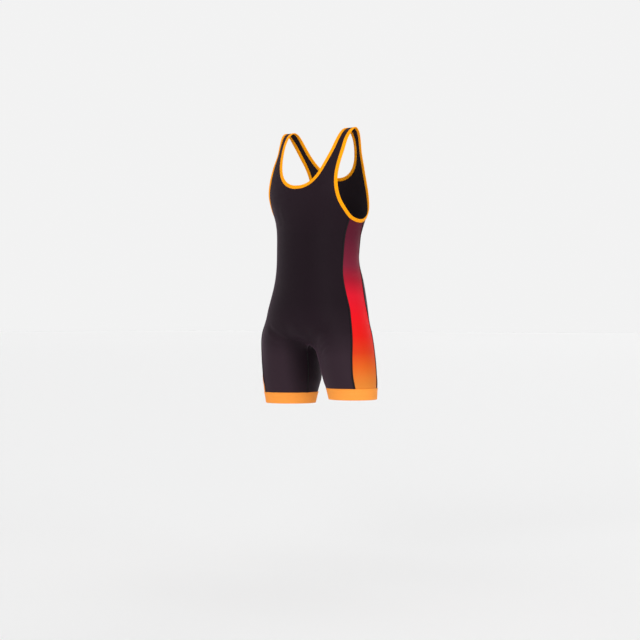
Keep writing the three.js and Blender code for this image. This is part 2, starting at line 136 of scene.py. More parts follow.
def ring_sections(node, count):
    """The sections of a closed strip, each a list of count points."""
    mesh = patches(node)
    start = mesh.verts[:][0]
    for line in (walk(start, edge) for edge in start.link_edges):
        if len(line) == count:
            across = line
        else:
            along = line
    # From each further point of the first section, the walk along the strip, beside the last one
    lanes = [along]
    for before, vert in zip(across, across[1:]):
        beside = set(before.link_faces) & set(lanes[-1][1].link_faces) & set(vert.link_faces)
        face = beside.pop()
        edge = next(
            e for e in vert.link_edges if face in e.link_faces and e.other_vert(vert) is not before
        )
        lanes.append(walk(vert, edge))
    sections = [[lane[j].co.copy() for lane in lanes] for j in range(len(lanes[0]))]
    mesh.free()
    print(node, "strip:", len(sections), "sections of", count)
    return sections


EDGE_BAND = 5 * MM  # what lies this near a hem band's top or bottom is its edge


def band_rings(node):
    """The outer top ring and outer bottom ring of a hem band, point for point by bearing."""
    mesh = patches(node)
    spots = [v.co.copy() for v in mesh.verts]
    mesh.free()
    rings = []
    for height in (max(p.z for p in spots), min(p.z for p in spots)):
        level = [p for p in spots if abs(p.z - height) < EDGE_BAND]
        middle = sum(level, Vector()) / len(level)
        level.sort(key=lambda p: math.atan2(p.x - middle.x, middle.y - p.y))
        pairs = [level[i : i + 2] for i in range(0, len(level), 2)]
        rings.append([max(pair, key=lambda p: (p - middle).xy.length) for pair in pairs])
    print(node, "rings of", len(rings[0]), "and", len(rings[1]))
    return rings


def open_sections(node):
    """The sections of a strip with two ends, each four points."""
    mesh = patches(node)
    cap = next(f for f in mesh.faces if all(len(v.link_edges) == 3 for v in f.verts))
    here, before, sections = list(cap.verts), None, []
    while True:
        sections.append([v.co.copy() for v in here])
        known = {*here, *(before or [])}
        on = [e.other_vert(v) for v in here for e in v.link_edges if e.other_vert(v) not in known]
        if len(on) < 4:
            break
        before, here = here, on
    mesh.free()
    print(node, "strip:", len(sections), "sections of 4")
    return sections


neck_rows = ring_sections("neck_binding", 6)
armhole_rows = {s: ring_sections("armhole_binding_" + s, 6) for s in SIDES}
bands = {s: band_rings("hem_band_" + s) for s in SIDES}
piping_rows = {
    (place, s): open_sections("piping_" + place + "_" + s)
    for place in ("front", "back")
    for s in SIDES
}

# %% [markdown]
# ## Cloth under tension
# The model's thigh meets its trunk in a shallow dip, all the way round below the hips. Stretch
# cloth pulled down the body can't follow such a dip: it bridges it. So the outline is read at
# many bearings, each outline gets the tight line that a stretched thread would take over it, and
# the difference moves every point outwards. Panels and piping take the same move, so that the
# seams stay shut.

# %% Where the cloth bridges the dip below the hips
HEIGHTS = np.arange(-0.722, -0.529, 0.006)
BEARINGS = np.radians(np.arange(0, 360, 4))
AXIS = Vector((0, -0.012, 0))
OUTSIDE = 0.5  # m from the axis, well outside the cloth


def tight_line(heights, reach):
    """The height and reach of a thread drawn tight over an outline from the outside."""
    line = []
    for z, r in zip(heights, reach):
        while len(line) > 1:
            (z0, r0), (z1, r1) = line[-2:]
            if (z1 - z0) * (r - r0) < (r1 - r0) * (z - z0):
                break
            line.pop()
        line.append((z, r))
    return np.interp(heights, *np.array(line).T)


def reached(trees, centre, out, far):
    """How far the outermost skin is from a point, seen from far outside, or None."""
    hits = [tree.ray_cast(centre + out * far, -out, far)[3] for tree in trees]
    return max((far - gap for gap in hits if gap is not None), default=None)


def skin_trees():
    """The skins as they are now, ready to be met by rays."""
    for skin in skins.values():
        skin.normal_update()
    return [BVHTree.FromBMesh(skin) for skin in skins.values()]


def read_dips():
    """How far the cloth stands off the model, by bearing and height."""
    trees, dips = skin_trees(), []
    for bearing in BEARINGS:
        out = Vector((math.sin(bearing), -math.cos(bearing), 0))
        reach = [reached(trees, AXIS + Vector((0, 0, z)), out, OUTSIDE) for z in HEIGHTS]
        reach = np.array(reach, dtype=float)
        there = ~np.isnan(reach)  # between the legs there is nothing to meet
        dip = np.zeros(len(HEIGHTS))
        dip[there] = tight_line(HEIGHTS[there], reach[there]) - reach[there]
        dips.append(dip)
    dips = np.array(dips)
    for _ in range(4):
        dips = (np.roll(dips, 1, axis=0) + 2 * dips + np.roll(dips, -1, axis=0)) / 4
        dips[:, 1:-1] = (dips[:, :-2] + 2 * dips[:, 1:-1] + dips[:, 2:]) / 4
    return dips


dips = read_dips()


def bridged(spot):
    """A point moved out by the dip at its bearing and height."""
    if not HEIGHTS[0] < spot.z < HEIGHTS[-1]:
        return spot
    flat = (spot - AXIS) * Vector((1, 1, 0))
    turn = math.atan2(flat.x, -flat.y) % (2 * math.pi) / BEARINGS[1]
    near, share = int(turn), turn % 1
    both = [np.interp(spot.z, HEIGHTS, dips[k % len(BEARINGS)]) for k in (near, near + 1)]
    return spot + flat.normalized() * ((1 - share) * both[0] + share * both[1])


def move_cloth(rule):
    """Moves every point of the skins and the piping by one rule."""
    for skin in skins.values():
        for vert in skin.verts:
            vert.co = rule(vert.co.copy())
    for rows in piping_rows.values():
        for section in rows:
            section[:] = [rule(spot) for spot in section]


move_cloth(bridged)
print("the cloth bridges a dip of up to", round(dips.max() / MM, 1), "mm")

# %% [markdown]
# ## The turned leg
# The photograph shows a sliver of orange at the outer edge of the right leg, so the cloth of that
# leg is turned forward, more so towards its hem. Every point there slides round the leg along
# the model's own surface: the form stays, and only the seams move.

# %% Where the right leg's cloth turns forward
TURN = math.radians(14)  # at the hem
TURN_FROM, TURN_TO = -0.700, -0.880  # heights: none above the first, all of it at the second
LOWEST = -0.862  # the surface is read no lower, clear of the hem's edge
LEG_TOP, LEG_END = Vector((-0.117, -0.003, -0.760)), Vector((-0.133, 0.006, -0.868))
SEAM_STEP = 0.02  # radians to either side, to look past a gap at a seam
WHOLE = (25, 120)  # bearings in degrees between which all of it turns
FADES = (45, 50)  # degrees over which that fades, in front and behind


def ease(value):
    """A soft step from 0 to 1."""
    value = np.clip(value, 0, 1)
    return value * value * (3 - 2 * value)


def leg_reach(centre, bearing, z):
    """How far the skins are from the leg's middle at a bearing; over a seam, a mean of both sides."""
    level = Vector((centre.x, centre.y, max(z, LOWEST)))
    for step in range(6):
        sides = (bearing - step * SEAM_STEP, bearing + step * SEAM_STEP)
        found = [
            reached(leg_trees, level, Vector((-math.sin(side), -math.cos(side), 0)), 0.3)
            for side in sides
        ]
        if None not in found:
            return sum(found) / 2
    return None


def turned(spot):
    """A point of the right leg, slid forward round it."""
    share = ease((TURN_FROM - spot.z) / (TURN_FROM - TURN_TO))
    if spot.x > 0 or share == 0:
        return spot
    centre = LEG_TOP.lerp(LEG_END, (spot.z - LEG_TOP.z) / (LEG_END.z - LEG_TOP.z))
    away = spot - centre
    bearing = math.atan2(-away.x, -away.y)
    degrees = math.degrees(bearing)
    outer = ease((degrees - WHOLE[0]) / FADES[0] + 1) * ease((WHOLE[1] - degrees) / FADES[1] + 1)
    fresh = bearing - TURN * share * outer
    old, new = leg_reach(centre, bearing, spot.z), leg_reach(centre, fresh, spot.z)
    if outer == 0 or old is None or new is None:
        return spot
    reach = new + away.xy.length - old
    return Vector(
        (centre.x - math.sin(fresh) * reach, centre.y - math.cos(fresh) * reach, spot.z)
    )


leg_trees = skin_trees()
move_cloth(turned)
print("the right leg's seams turn", round(math.degrees(TURN)), "degrees at the hem")

# %% [markdown]
# ## Camera
# The photograph looks level at the singlet's left front, 40 degrees round from straight ahead,
# with a long lens from about five metres. The camera stands there and looks level.

# %% Camera
AROUND = math.radians(40)
EYE = Vector((3.3489, -3.9920, -0.633))

camera_data = bpy.data.cameras.new("camera")
camera_data.lens = 87.3
camera_data.sensor_width = 36
camera_data.clip_end = 200  # past the far end of the floor
camera = bpy.data.objects.new("camera", camera_data)
camera.location = EYE
camera.rotation_euler = (math.radians(90), 0, AROUND)
bpy.context.scene.collection.objects.link(camera)
bpy.context.scene.camera = camera
print("camera", round(EYE.xy.length, 2), "m away")

# %% [markdown]
# ## Colours and nodes
# Colours are picked as sRGB hex values, the way a screen shows them. Shaders work in linear
# light, so one function converts them. A second small function adds any node, with its settings
# and its links.

# %% Helpers for materials


def linear(hex_colour):
    """An sRGB hex colour as linear RGBA."""
    parts = [int(hex_colour[i : i + 2], 16) / 255 for i in (1, 3, 5)]
    curve = [c / 12.92 if c <= 0.04045 else ((c + 0.055) / 1.055) ** 2.4 for c in parts]
    return (*curve, 1.0)


def add(tree, kind, inputs=None, **settings):
    """One node with its settings; each input is a value or another node's output."""
    made = tree.nodes.new("ShaderNode" + kind)
    for name, value in settings.items():
        setattr(made, name, value)
    for name, value in (inputs or {}).items():
        if isinstance(value, bpy.types.NodeSocket):
            tree.links.new(value, made.inputs[name])
        else:
            made.inputs[name].default_value = value
    return made


def stops(ramp_node, *pairs):
    """Fills a colour ramp with (place, hex colour) pairs."""
    ramp = ramp_node.color_ramp
    while len(ramp.elements) < len(pairs):
        ramp.elements.new(0.5)
    for element, (place, hex_colour) in zip(ramp.elements, pairs):
        element.position = place
        element.color = linear(hex_colour)
    return ramp_node.outputs["Color"]


def by_height(tree, height, start, end, *pairs):
    """A colour ramp that runs from one height to another."""
    level = add(tree, "MapRange", {"Value": height, "From Min": start, "From Max": end})
    return stops(add(tree, "ValToRGB", {"Fac": level.outputs["Result"]}), *pairs)


def waves(millimetres):
    """The Wave node's scale for bands that many millimetres apart, in metres of surface."""
    return 2 * math.pi / 20 / (millimetres * MM)


def new_material(name):
    """An empty node material and its tree."""
    material = bpy.data.materials.new(name)
    material.use_nodes = True
    material.node_tree.nodes.clear()
    return material, material.node_tree


def shaded(tree, inputs):
    """Adds the shader, its inputs set or linked, and joins it to the output."""
    shader = add(tree, "BsdfPrincipled", inputs)
    add(tree, "OutputMaterial", {"Surface": shader.outputs["BSDF"]})


# %% [markdown]
# ## Knit cloth
# The body is a warp-knit nylon with elastane: fine upright ribs (wales) about 0.6 mm apart,
# crossed by rows (courses). The bright yarn gives it a soft sheen where it turns away. A camera
# this far off blurs the ribs, so they are drawn 1.5 mm apart, as a shallow bump, and a slow
# noise varies the tone and the gloss as stretch does.

# %% Dark knit lightens where it is stretched most, over the thighs and across the chest
LIGHT = "#35262F"  # the knit's colour where it is open


def stretch_and_crotch_shade(tree, place, knitted):
    """The knit's colour, lighter where it opens up, and kept dark between the legs as painted shade."""
    parts = add(tree, "SeparateXYZ", {"Vector": place.outputs["Object"]})
    height = parts.outputs["Z"]
    stretched = by_height(
        tree, height, -0.92, 0.0,
        (0.00, "#E0E0E0"), (0.18, "#D4D4D4"), (0.27, "#707070"), (0.37, "#101010"),
        (0.62, "#1A1A1A"), (0.76, "#707070"), (1.00, "#808080"),
    )
    # Near the middle below the crotch the lightening fades out: painted shade between the legs.
    aside = add(tree, "Math", {0: parts.outputs["X"]}, operation="ABSOLUTE")
    outer = add(
        tree, "MapRange",
        {"Value": aside.outputs["Value"], "From Min": 0.03, "From Max": 0.09},
        interpolation_type="SMOOTHSTEP",
    )
    above = add(tree, "MapRange", {"Value": height, "From Min": -0.70, "From Max": -0.66})
    either = {0: outer.outputs["Result"], 1: above.outputs["Result"]}
    there = add(tree, "Math", either, operation="MAXIMUM")
    both = {0: stretched, 1: there.outputs["Value"]}
    share = add(tree, "Math", both, operation="MULTIPLY")
    shades = {"Factor": share.outputs["Value"], "A": knitted, "B": linear(LIGHT)}
    return add(tree, "Mix", shades, data_type="RGBA").outputs["Result"]


# %% Knit
WALE = 1.5  # mm; real wales are 0.6 mm apart, drawn coarser so that they show
COURSE = 1.1  # mm; real courses are 0.45 mm apart
NYLON = 1.53  # the index of refraction of its yarn


def knit(name, tone, deep, sheen, lustre, roughness=0.6, print_on=stretch_and_crotch_shade):
    """A knit: tone and deep are its two shades, and print_on gives what the eye sees of them."""
    material, tree = new_material(name)
    place = add(tree, "TexCoord")
    wales, courses = [
        add(
            tree, "TexWave",
            {"Vector": place.outputs["UV"], "Scale": waves(every), "Distortion": bend, "Detail": 1.0},
            bands_direction=way,
        )
        for every, bend, way in ((WALE, 0.4, "X"), (COURSE, 0.6, "Y"))
    ]
    stretch = add(
        tree, "TexNoise",
        {"Vector": place.outputs["Object"], "Scale": 7.0, "Detail": 4.0, "Roughness": 0.55},
    )
    yarn = add(tree, "TexNoise", {"Vector": place.outputs["Object"], "Scale": 420.0, "Detail": 2.0})
    loops, shade = [
        add(tree, "Math", {0: one.outputs["Fac"], 1: two.outputs["Fac"]}, operation="MULTIPLY")
        for one, two in ((wales, courses), (stretch, yarn))
    ]
    shades = {"Factor": shade.outputs["Value"], "A": linear(deep), "B": linear(tone)}
    knitted = add(tree, "Mix", shades, data_type="RGBA").outputs["Result"]
    gloss = add(
        tree, "MapRange",
        {"Value": stretch.outputs["Fac"], "To Min": roughness - 0.06, "To Max": roughness + 0.06},
    )
    form = {"Height": loops.outputs["Value"], "Strength": 0.25, "Distance": 0.3 * MM}
    relief = add(tree, "Bump", form)
    shaded(tree, {
        "Base Color": print_on(tree, place, knitted),
        "Roughness": gloss.outputs["Result"],
        "Normal": relief.outputs["Normal"],
        "IOR": NYLON,
        "Specular IOR Level": 0.09,  # loops scatter most of the gloss
        "Sheen Weight": sheen,
        "Sheen Roughness": 0.38,
        "Sheen Tint": linear(lustre),
    })
    return material


# %% [markdown]
# ## The printed fade
# The side panels are white knit that is printed: plum under the arm, red at the hip, orange at
# the hem. A colour ramp driven by height gives the print. The knit's own shade multiplies it,
# so the cloth still shows through the ink.

# %% The fade's colours, from the underarm to the hem
FADE_TOP, FADE_END = -0.27, -0.90


def side_print(tree, place, knitted):
    """The fade by height, darkened a little by the knit."""
    parts = add(tree, "SeparateXYZ", {"Vector": place.outputs["Object"]})
    ink = by_height(
        tree, parts.outputs["Z"], FADE_TOP, FADE_END,
        (0.00, "#501023"), (0.15, "#5C142A"), (0.29, "#7C1D34"), (0.37, "#A8122A"),
        (0.45, "#DE112A"), (0.56, "#EC0A1A"), (0.66, "#E6180F"), (0.745, "#DC3A12"),
        (0.82, "#E0621C"), (0.91, "#E08230"), (1.00, "#F2963A"),
    )
    shades = {"Factor": 0.16, "A": ink, "B": knitted}
    printed = add(tree, "Mix", shades, data_type="RGBA", blend_type="MULTIPLY")
    return printed.outputs["Result"]


# %% The knits
body_knit = knit("charcoal_warp_knit", "#1D0F19", "#140810", 0.34, "#8A6A80")
body_inside = knit("charcoal_knit_reverse", "#1F191E", "#161216", 0.15, "#5A5058", roughness=0.85)
side_knit = knit("printed_side_knit", "#FFFFFF", "#B8B0AC", 0.06, "#F0A0A0", print_on=side_print)
side_inside = knit("side_knit_reverse", "#A8999A", "#8A7D7E", 0.10, "#C0B0B0", roughness=0.85)
print("knits:", body_knit.name, side_knit.name)

# %% [markdown]
# ## Binding tape, hem elastic, piping and thread
# The bindings are folded stretch tape, dyed bright orange, with a fine crosswise rib. The hem
# bands are woven elastic, ribbed round the leg by the rubber in it, in a paler orange. The piping
# is a flat black tape. Thread is spun polyester, slightly shinier than the cloth.

# %% Tape, elastic and thread


def tape(name, tone, deep, rib, direction, sheen=0.25, roughness=0.6, gloss=0.2):
    """A narrow knitted or woven tape with ribs rib millimetres apart."""
    material, tree = new_material(name)
    place = add(tree, "TexCoord")
    ribs = add(
        tree, "TexWave",
        {"Vector": place.outputs["UV"], "Scale": waves(rib), "Distortion": 0.3, "Detail": 1.0},
        bands_direction=direction,
    )
    yarn = add(tree, "TexNoise", {"Vector": place.outputs["Object"], "Scale": 900.0, "Detail": 2.0})
    ramp = add(tree, "ValToRGB", {"Fac": yarn.outputs["Fac"]})
    both = {0: ribs.outputs["Fac"], 1: yarn.outputs["Fac"]}
    height = add(tree, "Math", both, operation="ADD")
    form = {"Height": height.outputs["Value"], "Strength": 0.4, "Distance": 0.25 * MM}
    relief = add(tree, "Bump", form)
    shaded(tree, {
        "Base Color": stops(ramp, (0.30, deep), (0.62, tone)),
        "Roughness": roughness,
        "Normal": relief.outputs["Normal"],
        "IOR": NYLON,
        "Specular IOR Level": gloss,
        "Sheen Weight": sheen,
        "Sheen Roughness": 0.4,
        "Sheen Tint": linear(tone),
    })
    return material


binding_tape = tape("orange_stretch_binding", "#FFA800", "#F89600", 0.9, "Y", 0.02, gloss=0.08)
hem_elastic = tape("ribbed_hem_elastic", "#FA9E40", "#F09238", 1.2, "X", 0.12, roughness=0.7)
piping_tape = tape("black_flat_piping", "#0D0B0E", "#080709", 0.9, "Y", sheen=0.03, roughness=0.75)
orange_thread = tape("orange_thread", "#FFB43A", "#F09A1C", 0.5, "X", roughness=0.45)
black_thread = tape("black_thread", "#151317", "#0E0C10", 0.5, "X", sheen=0.05, roughness=0.5)
charcoal_thread = tape("charcoal_thread", "#40383F", "#2C262C", 0.5, "X", roughness=0.45)
print("tapes:", binding_tape.name, hem_elastic.name, piping_tape.name)

# %% [markdown]
# ## Making objects, and smooth paths
# Each piece is a list of points and faces. The strips come as a few sections 10 to 20 mm apart,
# so a Catmull-Rom curve through them gives sections as close together as a piece needs.

# %% Objects and paths


def piece(name, spots, faces, materials, uv=None):
    """A mesh object that rides on the garment, with its materials."""
    mesh = bpy.data.meshes.new(name)
    mesh.from_pydata([tuple(p) for p in spots], [], [tuple(f) for f in faces])
    for material in materials:
        mesh.materials.append(material)
    mesh.polygons.foreach_set("use_smooth", [True] * len(mesh.polygons))
    if uv is not None:
        layer = mesh.uv_layers.new(name="cloth")
        index = np.empty(len(mesh.loops), dtype=int)
        mesh.loops.foreach_get("vertex_index", index)
        layer.data.foreach_set("uv", np.asarray(uv, dtype=float)[index].ravel())
    mesh.update()
    made = bpy.data.objects.new(name, mesh)
    bpy.context.scene.collection.objects.link(made)
    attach(made, "root")
    return made


def finer(rows, step, closed):
    """Rows of points, drawn again every step metres along a smooth curve through them."""
    rows = np.array([[tuple(p) for p in row] for row in rows])
    count, parts = len(rows), 10
    dense = []
    for i in range(count if closed else count - 1):
        around = range(i - 1, i + 3)
        a, b, c, d = rows[[k % count if closed else min(max(k, 0), count - 1) for k in around]]
        for t in np.arange(parts) / parts:
            bend = 2 * a - 5 * b + 4 * c - d + t * (3 * (b - c) + d - a)
            dense.append(b + 0.5 * t * (c - a + t * bend))
    dense.append(rows[0] if closed else rows[-1])
    dense = np.array(dense)
    lengths = np.linalg.norm(np.diff(dense.mean(axis=1), axis=0), axis=1)
    run = np.concatenate([[0], np.cumsum(lengths)])
    steps = max(4, round(run[-1] / step))
    wanted = np.linspace(0, run[-1], steps + 1)[: steps if closed else None]
    flat = dense.reshape(len(dense), -1)
    out = np.stack([np.interp(wanted, run, column) for column in flat.T], axis=1)
    return out.reshape(len(wanted), rows.shape[1], 3), wanted


def unit(v):
    """Arrows of length one."""
    return v / np.maximum(np.linalg.norm(v, axis=-1, keepdims=True), 1e-12)


def tube(sections, closed):
    """Faces that join rings of points into a strip, ring after ring."""
    count, size = sections.shape[:2]
    faces = []
    for j in range(count if closed else count - 1):
        for i in range(size):
            a, b = j * size + i, j * size + (i + 1) % size
            k = (j + 1) % count
            faces.append((a, b, k * size + (i + 1) % size, k * size + i))
    if not closed:
        faces += [tuple(range(size))[::-1], tuple((count - 1) * size + i for i in range(size))]
    return faces


def strip(name, sections, closed, material, uv):
    """A piece made of sections joined one after another, its faces turned to face out."""
    made = piece(name, sections.reshape(-1, 3), tube(sections, closed), [material], uv=uv)
    mesh = bmesh.new()
    mesh.from_mesh(made.data)
    bmesh.ops.recalc_face_normals(mesh, faces=mesh.faces[:])
    mesh.to_mesh(made.data)
    mesh.free()
    return made


def laid(section, middle, across, out):
    """A section, in mm across and out, laid at each place along a strip."""
    return (
        middle[:, None]
        + across[:, None] * section[None, :, :1] * MM
        + out[:, None] * section[None, :, 1:] * MM
    )


def tape_map(section, run):
    """Flat places on a strip in metres: across it, and along it."""
    return np.stack([np.tile(section[:, 0] * MM, len(run)), np.repeat(run, len(section))], axis=1)


# %% [markdown]
# ## The body cloth
# Each cut piece is one continuous sheet. Its patches are subdivided twice into a smooth skin and
# evened out, then the main creases are pressed in one by one: soft troughs with a low ridge on
# either side, on lines that follow the pull of the cloth. A simulation would also work, but a
# stretched knit hardly folds, and a listed line lands where the photograph shows it.
# The skin then gets a second layer inside it, so the cloth has a real thickness.

# %% Creases
# side of the body, path of (x, z) in metres, width mm, depth mm (below zero a ridge)
CREASES = [
    # the left groin: short slanting pulls, as the photograph shows
    ("front", [(0.080, -0.748), (0.102, -0.727), (0.128, -0.712), (0.150, -0.706)], 6.5, 2.7),
    ("front", [(0.074, -0.729), (0.098, -0.708), (0.124, -0.695), (0.148, -0.690)], 6.0, 2.2),
    ("front", [(0.088, -0.764), (0.110, -0.746), (0.136, -0.733)], 6.0, 1.8),
    ("front", [(0.056, -0.712), (0.086, -0.684), (0.116, -0.660), (0.138, -0.630)], 10.0, 2.2),
    # the other groin, milder
    ("front", [(-0.050, -0.712), (-0.080, -0.690), (-0.112, -0.670), (-0.138, -0.646)], 10.0, 1.8),
    ("front", [(-0.066, -0.738), (-0.092, -0.719), (-0.118, -0.708)], 6.5, 1.5),
    # the lower front stands out softly above the crotch
    ("front", [(0.004, -0.640), (0.002, -0.668), (0.000, -0.694)], 22.0, -2.2),
    # the waist, where the trunk meets the hips
    ("front", [(-0.110, -0.470), (-0.060, -0.482), (0.000, -0.486), (0.060, -0.480)], 11.0, 0.4),
    ("front", [(0.050, -0.505), (0.085, -0.497), (0.116, -0.486)], 9.0, 0.5),
    # the small of the back, and between the two halves of the seat
    ("back", [(-0.090, -0.452), (-0.040, -0.462), (0.010, -0.464), (0.070, -0.456)], 10.0, 0.8),
    ("back", [(-0.060, -0.488), (0.000, -0.497), (0.066, -0.487)], 9.0, 0.6),
    ("back", [(0.000, -0.560), (0.001, -0.610), (0.001, -0.660), (0.000, -0.705)], 12.0, 1.4),
]
PAIRED = [  # the same on both halves of the body
    # the armholes' lower fronts
    ("front", [(0.098, -0.262), (0.086, -0.292), (0.068, -0.318)], 8.0, 0.6),
    # under the seat
    ("back", [(0.030, -0.742), (0.066, -0.757), (0.104, -0.755), (0.138, -0.740)], 8.0, 1.5),
    ("back", [(0.040, -0.766), (0.080, -0.779), (0.118, -0.774)], 6.0, 0.8),
    # the sides, at the waist and at the hip's fold: here the path is of (y, z)
    ("left", [(-0.050, -0.468), (-0.020, -0.474), (0.015, -0.470)], 8.0, 0.6),
    ("left", [(-0.060, -0.650), (-0.036, -0.662), (-0.006, -0.668)], 8.0, 0.6),
]
for side, path, width, depth in PAIRED:
    mirrored = ("right", path) if side == "left" else (side, [(-x, z) for x, z in path])
    CREASES += [(side, path, width, depth), (*mirrored, width, depth)]
print("creases:", len(CREASES))
RUN_OUT = 4  # each end runs out over a quarter of the length
RIDGE, RIDGE_AT, RIDGE_SPREAD = 0.45, 1.9, 0.6  # height against the trough's, place and spread in widths
LOOK = {"front": (0, -1), "back": (0, 1), "left": (1, 0), "right": (-1, 0)}


def crease_path(tree, side, path):
    """A crease's path laid on the skin, in points 3 mm apart."""
    out = Vector((*LOOK[side], 0))
    line, _ = finer([[(u, 0, z)] for u, z in path], 3 * MM, False)
    starts = [Vector((u, 0, z)) if out.y else Vector((0, u, z)) for (u, _, z), in line]
    hits = [tree.ray_cast(spot + out * OUTSIDE, -out)[0] for spot in starts]
    return np.array([tuple(hit) for hit in hits if hit])


def press_creases(spots, normals, faces):
    """Moves the points of a skin in and out along its creases."""
    tree = BVHTree.FromPolygons([tuple(p) for p in spots], faces)
    moved = np.zeros(len(spots))
    for side, path, width, depth in CREASES:
        line = crease_path(tree, side, path)
        if len(line) < 4:
            continue
        out = np.array([*LOOK[side], 0])
        near = np.where(normals @ out > 0.1)[0]
        gap = np.linalg.norm(spots[near, None, :] - line[None, :, :], axis=2)
        nearest = gap.argmin(axis=1)
        across = gap.min(axis=1) / (width * MM)
        along = nearest / (len(line) - 1)
        ends = ease(np.minimum(along, 1 - along) * RUN_OUT)
        trough = np.exp(-across**2)
        ridges = RIDGE * np.exp(-((across - RIDGE_AT) ** 2) / RIDGE_SPREAD)
        moved[near] += depth * MM * ends * (ridges - trough)
    return spots + normals * moved[:, None], moved


# %% A sheet of cloth from a skin
CLOTH = 0.9 * MM  # the knit's thickness


def evaluated(made):
    """The mesh that an object's modifiers make."""
    graph = bpy.context.evaluated_depsgraph_get()
    return bpy.data.meshes.new_from_object(made.evaluated_get(graph))


def smooth_skin(node):
    """A cut piece's skin, subdivided and evened out: points, normals, faces, edges."""
    mesh = bpy.data.meshes.new("skin")
    skins[node].to_mesh(mesh)
    holder = bpy.data.objects.new("skin", mesh)
    bpy.context.scene.collection.objects.link(holder)
    subdivide = holder.modifiers.new("subdivide", "SUBSURF")
    subdivide.levels = subdivide.render_levels = 2
    subdivide.boundary_smooth = "PRESERVE_CORNERS"
    fine = evaluated(holder)
    bpy.data.objects.remove(holder)
    work = bmesh.new()
    work.from_mesh(fine)
    inside = [v for v in work.verts if not v.is_boundary]
    for _ in range(4):
        bmesh.ops.smooth_vert(
            work, verts=inside, factor=0.5, use_axis_x=True, use_axis_y=True, use_axis_z=True
        )
    work.normal_update()
    if sum(v.normal.xy.dot(v.co.xy) for v in work.verts) < 0:  # it faces the body
        bmesh.ops.reverse_faces(work, faces=work.faces[:])
        work.normal_update()
    spots = np.array([tuple(v.co) for v in work.verts])
    normals = np.array([tuple(v.normal) for v in work.verts])
    faces = [[v.index for v in f.verts] for f in work.faces]
    edges = [[v.index for v in e.verts] for e in work.edges if e.is_boundary]
    links = np.array([[v.index for v in e.verts] for e in work.edges])
    work.free()
    return pulled_taut(spots, normals, links, np.unique(edges)), normals, faces, edges


TAUT = (-0.50, -0.84)  # heights between which the cloth spans hollows
TAUT_FADES = (0.12, 0.06)  # over which that comes in below the first and goes out
EVENED = 160  # steps of evening out; more of them span wider hollows
GIVE = 0.35  # how much of a move inwards the cloth takes


def pulled_taut(spots, normals, links, held):
    """Stretched cloth spans hollows: it moves out towards its evened-out self, hardly in."""
    count = len(spots)
    both = np.concatenate([links, links[:, ::-1]])
    near = np.bincount(both[:, 0], minlength=count)
    even = spots.copy()
    for _ in range(EVENED):
        pull = np.stack(
            [np.bincount(both[:, 0], even[both[:, 1], k], count) / near for k in range(3)], axis=1
        )
        even += 0.5 * (pull - even)
        even[held] = spots[held]
    shift = ((even - spots) * normals).sum(axis=1)
    z = spots[:, 2]
    below = np.clip((TAUT[0] - z) / TAUT_FADES[0], 0, 1)
    above = np.clip((z - TAUT[1]) / TAUT_FADES[1], 0, 1)
    shift = np.where(shift > 0, shift, GIVE * shift) * (below * above)
    return spots + normals * shift[:, None]


def cloth_map(spots, out):
    """Flat places on the cloth in metres: round the body, and up."""
    bearing = np.arctan2(
        spots[:, 0] * -out[1] + spots[:, 1] * out[0], spots[:, 0] * out[0] + spots[:, 1] * out[1]
    )
    return np.stack([bearing * 0.15, spots[:, 2]], axis=1)  # a mean radius of 0.15 m


TUCK = 4 * MM  # how far the cloth goes on under its hem band
UNDER = 1.3 * MM  # how far in it lies there


def tucked(spots, normals):
    """The lower edge of the cloth, carried on under the hem band."""
    under = np.zeros(len(spots), bool)
    for sign in (1, -1):
        leg = spots[:, 0] * sign > 0
        lowest = spots[leg, 2].min(initial=0)
        under |= leg & (spots[:, 2] < lowest + 0.3 * MM)
    return spots + under[:, None] * ([0, 0, -TUCK] - normals * UNDER)


def cloth_sheet(name, node, side, materials):
    """A cut piece as a closed, thin shell: outer layer, inner layer and the cut edge between."""
    spots, normals, faces, edges = smooth_skin(node)
    spots, moved = press_creases(spots, normals, faces)
    spots = tucked(spots, normals)
    count = len(spots)
    both = np.concatenate([spots, spots - normals * CLOTH])
    inner = [[i + count for i in f][::-1] for f in faces]
    turns = {pair for f in faces for pair in zip(f, f[1:] + f[:1])}
    edges = [(a, b) if (a, b) in turns else (b, a) for a, b in edges]
    rim = [[b, a, a + count, b + count] for a, b in edges]
    flat = cloth_map(spots, LOOK[side])
    made = piece(name, both, faces + inner + rim, materials, uv=np.concatenate([flat, flat]))
    slots = [0] * len(faces) + [1] * len(inner) + [0] * len(rim)
    made.data.polygons.foreach_set("material_index", slots)
    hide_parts(node)
    deep = moved.min() / MM, moved.max() / MM
    print(name, count, "points, creases from", round(deep[0], 2), "to", round(deep[1], 2), "mm")
    return made


# %% The four cut pieces
front_cloth = cloth_sheet("front_cloth", "front_panel", "front", [body_knit, body_inside])
back_cloth = cloth_sheet("back_cloth", "back_panel", "back", [body_knit, body_inside])
side_cloth = {
    s: cloth_sheet("side_cloth_" + s, "side_panel_" + s, s, [side_knit, side_inside])
    for s in SIDES
}

# %% [markdown]
# ## Bindings
# A binding is a strip of stretch tape folded over the cut edge and sewn down with a row of
# zigzag stitches near the fold's edge. Its section is drawn here: a soft outer bulge, a groove
# where the thread pulls it in, and a rolled open edge. Between stitches the tape puffs up a
# little, every 4.4 mm. The model's own sections give the place, the way across and the way out.

